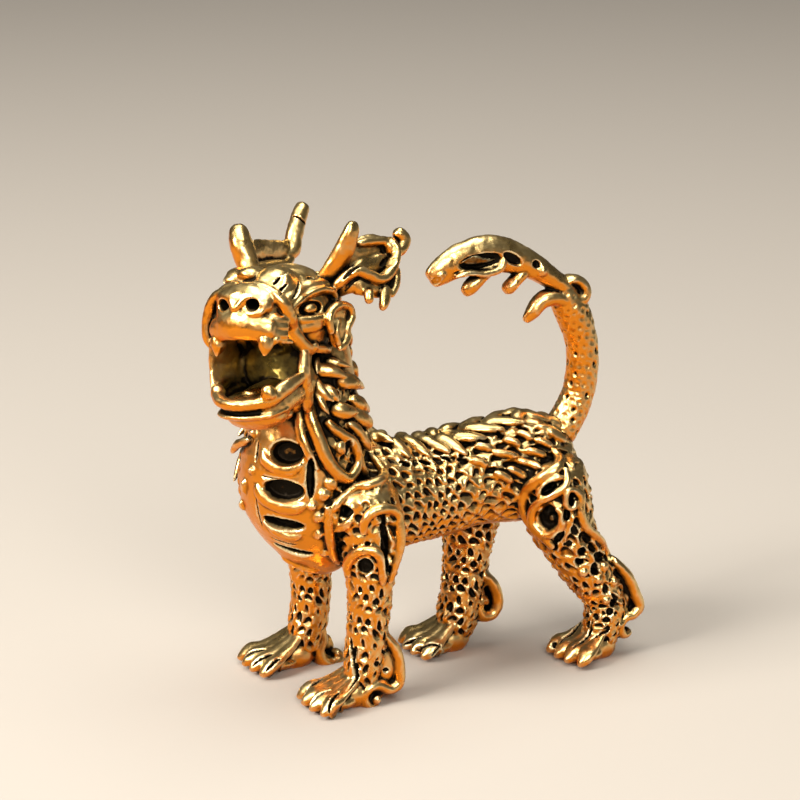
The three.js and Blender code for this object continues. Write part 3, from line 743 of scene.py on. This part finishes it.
def skull(wax):
    """The plain head, brow to neck, that the face is laid on."""
    head_lump(wax, (0, 0.6, -1.2), (4.7, 5, 4.8), 60, 40)
    for side in (-1, 1):
        head_lump(wax, (side * 1.4, -3.1, 1.3), (2.1, 2.6, 2.1), 40, 30)
    snout = [(0, 0, -0.6), (0, -3.6, -0.6), (0, -7, -1.3)]
    head_form(wax, snout, [(4.2, 3.4), (3.7, 2.9), (3.6, 2.3)], 60, 50)
    head_lump(wax, (0, -6.9, 0.2), (2.9, 1.4, 1.3))
    upper_lip = [(-3.6, -6.4, -2.8), (0, -7.8, -2.2), (3.6, -6.4, -2.8)]
    head_form(wax, upper_lip, [(1, 1.2), (1, 1.4), (1, 1.2)], 30, 40)
    head_lump(wax, (0, 0.8, -8), (2.9, 3.2, 3.2), 60, 40)


def head_at(x, y, left):
    """A place through the picture in a plane along the head, so far to the left of its middle."""
    line, away = sight(x, y), HEAD.to_3x3() @ Vector((1, 0, 0))
    place = HEAD @ Vector((left, 0, 0))
    return HEAD.inverted() @ (eye + line * ((place - eye).dot(away) / line.dot(away)))


def cut_out(piece, cutter):
    """Cuts one closed skin out of another."""
    cut = piece.modifiers.new("cut", "BOOLEAN")
    cut.operation = "DIFFERENCE"
    cut.solver = "MANIFOLD"
    cut.object = cutter
    settle(piece)
    bpy.data.objects.remove(cutter)
    wax = bmesh.new()
    wax.from_mesh(piece.data)
    bpy.data.objects.remove(piece)
    return wax


head_wax = bmesh.new()
skull(head_wax)
head_skin = BVHTree.FromBMesh(head_wax)
head_lump(head_wax, (0, -4.5, -10.3), (3.1, 3.3, 1.8), 60, 40)
FAR_CHEEK = [(-3.8, -2.6, -2.8), (-4.2, -2.4, -6), (-3.8, -2.4, -9), (-3, -2.6, -10.6)]
head_form(head_wax, FAR_CHEEK, [(4.4, 0.7), (4.2, 0.7), (4.3, 0.8), (3.8, 0.9)], 40, 60, ACROSS, 9)
head_lump(head_wax, (0.1, -6.1, 0.1), (3.4, 1.8, 1.65), 48, 32)
head_lump(head_wax, (0.2, -6.65, 0.35), (2.5, 1.45, 1.45), 48, 32)
NOSE_FOLD = [(-1, -7.7, 0.5), (-0.3, -8.05, -0.1), (0.2, -8.15, -0.75), (0.8, -8.05, -0.1),
             (1.5, -7.7, 0.5)]
head_form(head_wax, NOSE_FOLD, [0.3, 0.35, 0.4, 0.35, 0.3], 24, 50)
NOSTRIL_RIM = [(0.7, -7.9, -0.75), (1.5, -7.95, -1.25), (2.4, -7.5, -1.1), (2.9, -6.9, -0.4)]
NOSE_MIDDLE = 0.25
for side in (-1, 1):
    head_lump(head_wax, (side * 1.8 + NOSE_MIDDLE, -6.75, -0.4), (1.35, 1.15, 1.15))
    rim = [(side * x + NOSE_MIDDLE, y, z) for x, y, z in NOSTRIL_RIM]
    head_form(head_wax, rim, [0.25, 0.32, 0.34, 0.25])
head_lump(head_wax, (0, -6, -1.6), (3.6, 1.6, 1.9))
LIP_LAYERS = [(-1.75, -7.0), (-2.4, -7.1), (-3.1, -7.15)]
LIP_SIZES = [0.5, 0.6, 0.65, 0.6, 0.5]
for high, ahead in LIP_LAYERS:
    path = [(-4, ahead + 2.2, high - 0.2), (-3, ahead + 0.7, high), (0, ahead, high),
            (3, ahead + 0.7, high), (4, ahead + 2.2, high - 0.2)]
    head_form(head_wax, path, LIP_SIZES, 40, 70)
mouth_wax = bmesh.new()
MOUTH = [(0, -11, -6.6), (0, -6, -6.5), (0, -2.2, -6.4)]
MOUTH_CORNER = [(0, -7.4, -6.5), (3.6, -5, -6.2), (7, -4.2, -6.2)]
head_form(mouth_wax, MOUTH, [(3.4, 2.9), (3.4, 2.8), (3, 2.4)], 40, 40, blunt=12)
head_form(mouth_wax, MOUTH_CORNER, [(1.4, 2), (2.3, 2), (2.3, 1.9)], 40, 40)
for side in (-1, 1):
    nostril = [(side * 1.8 + 0.3, -9.5, -0.45), (side * 1.7 + 0.25, -7.8, -0.35),
               (side * 1.3 + 0.2, -6.4, 0.1)]
    head_form(mouth_wax, nostril, [(0.82, 0.62), (0.76, 0.6), (0.4, 0.3)], 24, 24)
head_wax = cut_out(melted(head_wax, "skull", VOXEL), melted(mouth_wax, "mouth", VOXEL))
JAW = [(-3.7, -3, -7.3), (-3.5, -5.6, -8.2), (-2.9, -7, -9), (-1.7, -7.9, -9.6), (0, -8.1, -9.9),
       (1.5, -7.5, -9.8), (2.8, -6.6, -9.4), (3.7, -5.4, -8.4), (3.8, -2.2, -7.2)]
JAW_SIZES = [(0.45, 0.55), (0.5, 0.6), (0.6, 0.65), (0.7, 0.6), (0.75, 0.6), (0.7, 0.6), (0.6, 0.7),
             (0.5, 0.8), (0.45, 0.8)]
head_form(head_wax, JAW, JAW_SIZES, 40, 140)
LOWER_LIP = [(-3.2, -5.4, -10.3), (-2, -7.1, -10.9), (0.5, -7.4, -11.1), (2.4, -6.3, -10.9),
             (3.5, -4.4, -10.2)]
head_form(head_wax, LOWER_LIP, [(0.6, 0.3), (0.7, 0.32), (0.7, 0.32), (0.6, 0.3), (0.5, 0.25)], 24, 80)
JAW_WALL = [(3.2, -1.6, -8.8), (3.3, -4.4, -9.4), (2.6, -6.1, -10.2), (1, -7, -10.4)]
for path in both(JAW_WALL):
    head_form(head_wax, path, [(0.5, 1.2), (0.5, 1.1), (0.5, 0.8), (0.5, 0.7)], 40, 60)
JAW_HINGE = [(304, 348, 3.2), (304, 358, 3.6), (304, 370, 3.8), (306, 384, 3.5), (308, 400, 2.9),
             (309, 412, 2.1)]
HINGE_SIZES = [(0.6, 0.5), (0.6, 0.5), (0.7, 0.5), (0.8, 0.5), (0.8, 0.5), (0.6, 0.4)]
for path in both([tuple(head_at(*place)) for place in JAW_HINGE]):
    head_form(head_wax, path, HINGE_SIZES, 30, 90, ACROSS)
head_lump(head_wax, (0.1, -4.8, -11), (3, 2.7, 1.35), 48, 32)
MOUTH_FLOOR = [(0, -0.6, -9), (0, -4, -9.5), (0, -7.6, -9.9)]
TONGUE = [(0, -6.4, -8.9), (0, -4.2, -8.5), (0, -1.6, -8.1)]
THROAT_WALL = [(-3.6, -1.6, -6), (0, -1.5, -5.6), (3.4, -0.6, -6)]
head_form(head_wax, MOUTH_FLOOR, [(3.4, 1), (3.7, 1), (2.6, 0.7)], 60, 60, blunt=8)
head_form(head_wax, TONGUE, [(0.8, 0.4), (1.3, 0.5), (1.6, 0.8)], 40, 40)
head_form(head_wax, THROAT_WALL, [(0.8, 2.6), (0.7, 2.6), (0.7, 2.6)], 40, 60)
UPPER_FANG = [(2.75, -6.7, -3.3), (2.8, -7, -4.3), (2.85, -7.2, -5.3)]
LOWER_FANG = [(3, -6.7, -9.2), (3, -6.9, -8.5), (2.9, -6.9, -8)]
for path in both(UPPER_FANG):
    head_form(head_wax, path, [(1.05, 0.8), (0.85, 0.65), 0.2], ref=ACROSS, blunt=3)
for path in both(LOWER_FANG):
    head_form(head_wax, path, [0.8, 0.7, 0.45], ref=ACROSS)
LIP_EDGE = [(-4.1, -4.4, -3.7), (-3.2, -6.7, -3.5), (-1.8, -7.5, -3.4), (0, -7.75, -3.4), (1.8, -7.5, -3.4),
            (3.2, -6.5, -3.6), (4.1, -4.4, -3.9)]
head_form(head_wax, LIP_EDGE, [0.3, 0.34, 0.34, 0.34, 0.34, 0.34, 0.3], 24, 120)
LIP = [(264, 341), (274, 345), (285, 346), (296, 350), (305, 353)]
cord(head_wax, head_skin, LIP, 0.4, 0.5, 0.1, copy=ACROSS_HEAD)
MOUSTACHE = [(254, 286), (264, 290), (273, 296), (281, 304), (287, 315), (291, 326), (296, 337), (304, 345),
             (312, 348)]
cord(head_wax, head_skin, MOUSTACHE, 0.72, 0.6, 0.35, (0.5, 0.9, 1, 1.1, 0.9), ACROSS_HEAD)
MOUSTACHE_END = [(312, 347), (321, 346), (330, 351), (340, 357), (348, 360)]
cord(head_wax, head_skin, MOUSTACHE_END, 0.5, 0.5, 0.25, (0.8, 1, 1, 0.8, 0.3), ACROSS_HEAD, tip=0.6)
bead(head_wax, head_skin, 312, 345, 0.55, 0.5, lift=0.3, copy=ACROSS_HEAD)
FAR_MOUSTACHE = [(-1.8, -7.3, 1.1), (-3.1, -6.9, 0.5), (-4.1, -6.4, -0.7), (-4.55, -6.2, -2.2),
                 (-4.6, -6.2, -3.5), (-4.3, -6.4, -4.4)]
FAR_MOUSTACHE_SIZES = [(0.5, 0.4), (0.7, 0.5), (0.8, 0.6), (0.8, 0.6), (0.7, 0.55), 0.4]
head_form(head_wax, FAR_MOUSTACHE, FAR_MOUSTACHE_SIZES, 30, 90, ACROSS, 3)
for back in (-4.2, -2.2, -0.2):
    fold = [(-4.3, back + 1, -3), (-4.8, back, -6), (-4.4, back - 0.6, -9)]
    head_form(head_wax, fold, [(0.5, 0.3), (0.7, 0.45), (0.4, 0.3)], 24, 60, ACROSS)
FACE = [
    ([(288, 311), (295, 303), (303, 297), (312, 293), (322, 291), (330, 294), (334, 303)], 0.42, 0.6, 0.2),
    ([(283, 306), (292, 297), (302, 290), (312, 286), (323, 286), (331, 290)], 0.75, 0.5, 0.1),
    ([(294, 319), (306, 320), (318, 319), (328, 315)], 0.45, 0.35, 0.1),
    ([(262, 291), (274, 290), (288, 288), (302, 285), (314, 284)], 1.4, 0.3, 0.0),
    ([(285, 398), (290, 402), (289, 409)], 0.3, 0.35, 0.1),
    ([(290, 412), (281, 411), (273, 416), (272, 425), (279, 431), (289, 430), (295, 424)], 0.3, 0.4, 0.1),
]
for pixels, wide, tall, lift in FACE:
    cord(head_wax, head_skin, pixels, wide, tall, lift, copy=ACROSS_HEAD)
FAR_BROW = [((-2.6, -4.8, 1.9), 0.9), ((-2.2, -4.2, 2.2), 1.3), ((-0.8, -4.6, 2.45), 1.05)]
for centre, size in FAR_BROW:
    head_lump(head_wax, centre, (size * 1.15, size, size * 0.8), 24, 16)
CHEEK_BEADS = [(277, 421, 0.35, 0.35), (288, 420, 0.35, 0.35), (310, 326, 1.6, 0.45)]
for x, y, wide, tall in CHEEK_BEADS:
    bead(head_wax, head_skin, x, y, wide, tall, min(wide, 0.7), copy=ACROSS_HEAD)
SKULL_ROWS = [(44.6 - 1.8 * k, 5.2) for k in range(5)]
skull_middle = Vector((HEAD.translation.x, HEAD.translation.y + 0.6, 0))
locks(head_wax, head_skin, skull_middle, SKULL_ROWS, 62, 216, 0.8)
EAR = [
    ([(332, 334), (329, 320), (332, 310), (340, 305), (349, 308), (351, 317), (347, 327), (346, 338),
      (339, 350)], 0.42),
    ([(339, 345), (336, 332), (339, 320)], 0.3), ([(347, 326), (347, 338), (341, 350)], 0.35),
]
EAR_PLANE = 5.3
for mirror in (1, -1):
    head_lump(head_wax, (mirror * 4.7, 2.1, -2.4), (0.75, 1.4, 2.3))
    head_lump(head_wax, (mirror * 4.6, 2, -1.2), (0.9, 1.5, 1.2))
    for pixels, size in EAR:
        path = [(mirror * x, y, z) for x, y, z in (head_at(*pixel, EAR_PLANE) for pixel in pixels)]
        head_form(head_wax, path, [(size, size), (size, size * 1.3), (size, size)], 24, 70, ACROSS)
ANTLERS = [  # places in the picture with their planes, and sizes
    ([(320, 286, 2.8), (333, 270, 4), (343, 252, 5.1), (350, 235, 5.9), (354, 221, 6.4)],
     [(1.45, 1), (1.35, 0.95), (1.2, 0.9), (1.05, 0.8), (0.95, 0.7)]),
    ([(326, 294, 3.6), (338, 284, 4.9), (349, 274, 5.8), (359, 271, 6.4), (369, 275, 6.8), (380, 279, 7.1),
      (389, 273, 7.3), (395, 260, 7.3), (397, 249, 7.2), (393, 240, 7)],
     [0.55, (0.55, 0.6), (0.55, 0.6), (0.55, 0.6), 0.5]),
    ([(330, 284, 3.2), (342, 269, 4), (356, 257, 4.8), (372, 251, 5.4), (389, 249, 5.9)],
     [(1.1, 0.6), (1.4, 0.6), (1.7, 0.55), (1.8, 0.5), (1.5, 0.5)]),
    ([(350, 277, 4.9), (364, 268, 5.4), (378, 266, 5.9), (392, 258, 6.4)],
     [(0.8, 0.4), (1, 0.4), (1.2, 0.4), (1, 0.4)]),
    ([(384, 250, 6.2), (394, 244, 6.4)], [(1, 0.9), (1, 0.9)]),
    ([(358, 243, 5.5), (373, 241, 5.9), (390, 241, 6.4)], [0.45, 0.45, 0.6]),
    ([(336, 294, 4), (352, 284, 5.3), (368, 285, 6.2), (384, 286, 6.7), (393, 274, 6.9)],
     [(0.9, 0.7), (1.1, 0.6), (1.15, 0.6), (1.15, 0.6), (0.9, 0.5)]),
    ([(368, 290, 6.6), (369, 297, 6.9), (369, 304, 7)], [0.6, 0.5, 0.4]),
    ([(386, 286, 7.1), (385, 298, 7.4), (382, 310, 7.5)], [(0.8, 0.5), (0.65, 0.5), 0.45]),
    ([(396, 266, 7.2), (396, 282, 7.4), (391, 297, 7.5)], [0.45, 0.45, 0.4]),
    ([(391, 254, 6.9), (400, 250, 6.9), (403, 240, 6.8), (396, 230, 6.7)], [0.6, 0.65, 0.75, 0.85]),
    ([(252, 280, -2.6), (247, 262, -3.5), (242, 246, -4.1), (238, 231, -4.7), (236, 224, -4.9)],
     [(1.15, 1.1), (1.15, 1.1), (1.35, 1.1), (1.1, 0.95), (0.9, 0.8)]),
    ([(246, 254, -3.9), (262, 251, -4.4), (278, 251, -4.8), (291, 252, -5)],
     [(1.1, 0.5), (1.1, 0.4), (1.1, 0.4), (1, 0.5)]),
    ([(252, 241, -4.2), (266, 242, -4.5), (279, 244, -4.9), (288, 240, -5)], [0.3, 0.28, 0.3, 0.3]),
    ([(252, 268, -3.2), (270, 268, -3.9), (286, 264, -4.5), (294, 252, -4.9)], [0.7, 0.8, 0.6, 0.4]),
    ([(284, 259, -4.8), (292, 249, -5), (294, 236, -5.1), (298, 221, -5.1), (302, 208, -5.1),
      (304, 203, -5.1)],
     [0.85, 0.95, 0.9, 0.85, 0.85, 0.8]),
]
for places, sizes in ANTLERS:
    head_form(head_wax, [head_at(*place) for place in places], sizes, 30, 70, ACROSS, 3)
HEAD_VOXEL = VOXEL * 0.85
EYE_SOCKET = [(311, 308, 13, 6.5, 12, 0.7)]
head = melted(head_wax, "casting_head", HEAD_VOXEL)
hollowed(head, head_skin, EYE_SOCKET, ACROSS_HEAD)
head_wax = bmesh.new()
head_wax.from_mesh(head.data)
bpy.data.objects.remove(head)
bead(head_wax, head_skin, 311, 308, 0.85, 0.5, 0.55, lift=-0.35, copy=ACROSS_HEAD)
BROW_LINES = [
    (277, 281, 5, 1.2, 49, 0.5), (281, 289, 7.5, 1.3, 44, 0.5), (294, 290, 11, 1.7, 50, 0.5),
    (310, 279, 4, 2.5, 0, 0.4)]
ANTLER_LINES = [(301, 219, 8, 1.1, -35, 0.3), (354, 268, 14, 2.2, 35, 0.3), (384, 262, 6, 3, 50, 0.3)]
head = melted(head_wax, "casting_head", HEAD_VOXEL)
hollowed(head, head_skin, BROW_LINES, ACROSS_HEAD)
hollowed(head, skin_of(head), ANTLER_LINES)
upright = np.array(HEAD.inverted())
left, back, high = (numbers(head.data.vertices, "co") @ upright[:3, :3].T + upright[:3, 3]).T
LIPS, CHEEKS, THROAT_END = (-7, -5.8), (3.2, 3.7), (-0.5, 0.2)  # where the inside of the mouth fades out
FLOOR, PALATE = (-9.7, -9.3), (-4.4, -3.9)
inner = soft_step(back, *LIPS) * (1 - soft_step(np.abs(left), *CHEEKS)) * soft_step(high, *FLOOR)
inner *= (1 - soft_step(high, *PALATE)) * (1 - soft_step(back, *THROAT_END))
head.data.attributes.new("inside", "FLOAT", "POINT").data.foreach_set("value", inner)
cooled(head, MOST)

# Shade
# The black was brushed over the whole casting and rubbed off again. It stays where a finger does
# not reach, so every place keeps how shut in it is close by. How shut in it is from afar is kept
# too, and the brass paints it as brown shade.
FAN = [(12, 0), (38, 30), (38, 150), (38, 270), (62, 90), (62, 210), (62, 330)]  # tilt and turn in degrees
OFF_SKIN, CLOSE_BY, AFAR = 2e-5, 0.0018, 0.007  # metres
ASKEW = np.array((0.31, 0.52, 0.79))  # the direction that the turns of each fan are counted from


def shut_in(pieces, reach, close):
    """Keeps on each piece how much of the casting lies within reach and close before every place."""
    everything = bmesh.new()
    for piece in pieces:
        everything.from_mesh(piece.data)
    tree = BVHTree.FromBMesh(everything)
    everything.free()
    fan = [(radians(tilt), radians(turn)) for tilt, turn in FAN]
    for piece in pieces:
        mesh = piece.data
        co = numbers(mesh.vertices, "co")
        out = numbers(mesh.vertex_normals, "vector")
        side = unit(np.cross(out, ASKEW))
        rise = np.cross(out, side)
        starts = (co + out * OFF_SKIN).tolist()
        shut, shaded = np.zeros(len(co)), np.zeros(len(co))
        for tilt, turn in fan:
            ways = out * cos(tilt) + (side * cos(turn) + rise * sin(turn)) * sin(tilt)
            rays = zip(starts, ways.tolist())
            far = np.array([tree.ray_cast(start, way, reach)[3] or reach for start, way in rays])
            shut += np.clip(1 - far / close, 0, 1)
            shaded += 1 - far / reach
        for name, values in (("shut", shut), ("shaded", shaded)):
            mark = mesh.attributes.new(name, "FLOAT", "POINT")
            mark.data.foreach_set("value", values / len(fan))


shut_in([rear, front, tail, head], AFAR, CLOSE_BY)

# Brass
# Solid cast brass, blackened all over and rubbed bright again: pale where it is worn, a painted orange
# reflection where it faces down and to the front, painted brown shade where the casting shuts it in
# from afar, olive in the mouth and near black in the recesses.
brass = bpy.data.materials.new("brass")
brass.use_nodes = True
nodes, links = brass.node_tree.nodes, brass.node_tree.links
shader = nodes["Principled BSDF"]
shader.inputs["Metallic"].default_value = 1


def fed(socket, value):
    """Links the socket to another one, or sets it."""
    if isinstance(value, bpy.types.NodeSocket):
        links.new(value, socket)
    else:
        socket.default_value = value


def joined(kind, *inputs, **settings):
    """A new node, with its inputs fed in their order."""
    node = nodes.new(kind)
    for key, value in settings.items():
        setattr(node, key, value)
    for socket, value in zip(node.inputs, inputs):
        fed(socket, value)
    return node


def kept(name):
    return joined("ShaderNodeAttribute", attribute_name=name).outputs["Fac"]


def graded(value, low, high, least=0.0, most=1.0):
    return joined("ShaderNodeMapRange", value, low, high, least, most).outputs[0]


def mixed(share, first, second):
    node = joined("ShaderNodeMix", data_type="RGBA")
    for name, value in (("Factor", share), ("A", first), ("B", second)):
        fed(node.inputs[name], value)
    return node.outputs["Result"]


def sum_of(first, second, clamp=False):
    return joined("ShaderNodeMath", first, second, operation="ADD", use_clamp=clamp).outputs[0]


def times(first, second):
    return joined("ShaderNodeMath", first, second, operation="MULTIPLY").outputs[0]


spot = joined("ShaderNodeTexCoord").outputs["Object"]
blotch = joined("ShaderNodeTexNoise", spot)
blotch.inputs["Scale"].default_value = 420
blotch.inputs["Detail"].default_value = 3
grain = joined("ShaderNodeTexNoise", spot)
grain.inputs["Scale"].default_value = 2600
grain.inputs["Detail"].default_value = 2
patchy = sum_of(times(graded(blotch.outputs["Fac"], 0.3, 0.7), 0.7),
                times(graded(grain.outputs["Fac"], 0.3, 0.7), 0.3))
way = joined("ShaderNodeNewGeometry").outputs["Normal"]
tilt = joined("ShaderNodeSeparateXYZ", way).outputs
lean = sum_of(tilt["Z"], times(tilt["Y"], 0.35))
# painted orange reflection: faces that point down and to the front turn orange
painted_reflection_below = graded(lean, 0.35, -0.15)
near, wide, shut = kept("near"), kept("wide"), kept("shut")
shaded, pressed, inside = kept("shaded"), kept("pressed"), kept("inside")
hollow = graded(sum_of(times(near, 1.5), wide), 0.01, 0.12, 0, 0.8)
closed = graded(sum_of(shut, times(patchy, 0.08)), 0.14, 0.42)
stained = sum_of(pressed, times(inside, graded(blotch.outputs["Fac"], 0.45, 0.6)))
dark = sum_of(sum_of(hollow, closed), times(stained, graded(patchy, 0.2, 0.8, 1.1, 0.6)), True)
# painted shade: places that the casting shuts in from afar turn dull brown and rougher
painted_shade_dull = graded(sum_of(shaded, times(patchy, 0.25)), 0.35, 0.85, 0, 0.85)
worn = graded(near, -0.015, -0.06)
# PAINTED_REFLECTION_ORANGE is the colour of the painted reflection on faces that point down and to the front
YELLOW, PALE, PAINTED_REFLECTION_ORANGE = (0.78, 0.53, 0.18, 1), (0.94, 0.72, 0.34, 1), (0.8, 0.26, 0.02, 1)
# PAINTED_SHADE_BROWN is the colour of painted shade
EDGE, PAINTED_SHADE_BROWN, OLIVE = (1, 0.86, 0.52, 1), (0.17, 0.11, 0.03, 1), (0.2, 0.14, 0.035, 1)
BLACK = (0.012, 0.009, 0.006, 1)
# mixes in the painted orange reflection by how each face points
gold = mixed(painted_reflection_below, mixed(patchy, YELLOW, PALE), PAINTED_REFLECTION_ORANGE)
gold = mixed(times(worn, 0.75), gold, EDGE)
# painted brown shade, then olive in the mouth
gold = mixed(inside, mixed(painted_shade_dull, gold, PAINTED_SHADE_BROWN), OLIVE)
links.new(mixed(dark, gold, BLACK), shader.inputs["Base Color"])
rough = sum_of(graded(patchy, 0, 1, 0.24, 0.38), times(sum_of(dark, painted_shade_dull, True), 0.22))
links.new(rough, shader.inputs["Roughness"])
bump = joined("ShaderNodeBump")
bump.inputs["Strength"].default_value = 0.25
bump.inputs["Distance"].default_value = 0.00006
links.new(sum_of(grain.outputs["Fac"], times(blotch.outputs["Fac"], 0.8)), bump.inputs["Height"])
links.new(bump.outputs["Normal"], shader.inputs["Normal"])
for piece in (rear, front, tail, head):
    piece.data.materials.append(brass)

# Floor and light
# A sheet of pale paper under the paws, and three soft lamps over it: one before the beast, one to
# its left and one overhead.
sheet = bmesh.new()
bmesh.ops.create_grid(sheet, x_segments=1, y_segments=1, size=1.5)
floor = placed("floor", mesh_of(sheet, "floor"))
paper = bpy.data.materials.new("paper")
paper.use_nodes = True
shader = paper.node_tree.nodes["Principled BSDF"]
shader.inputs["Base Color"].default_value = (0.42, 0.39, 0.355, 1)
shader.inputs["Roughness"].default_value = 0.9
shader.inputs["Specular IOR Level"].default_value = 0.1
floor.data.materials.append(paper)
LAMPS = [  # places, watts and sizes
    ((0.02, -0.42, 0.34), 4.5, 0.24), ((0.42, -0.12, 0.3), 1.8, 0.22), ((0, 0.02, 0.5), 2.6, 0.4)]
CHEST = Vector((0, 0, 0.02))
for place, power, size in LAMPS:
    light = bpy.data.lights.new("light", "AREA")
    light.energy, light.size = power, size
    light.color = (1, 0.95, 0.87)
    lamp = placed("light", light)
    lamp.location = place
    lamp.rotation_euler = (CHEST - Vector(place)).to_track_quat("-Z", "Y").to_euler()
world = bpy.data.worlds.new("studio")
world.use_nodes = True
world.node_tree.nodes["Background"].inputs[0].default_value = (0.06, 0.055, 0.05, 1)
bpy.context.scene.world = world
bpy.context.scene.view_settings.view_transform = "Standard"
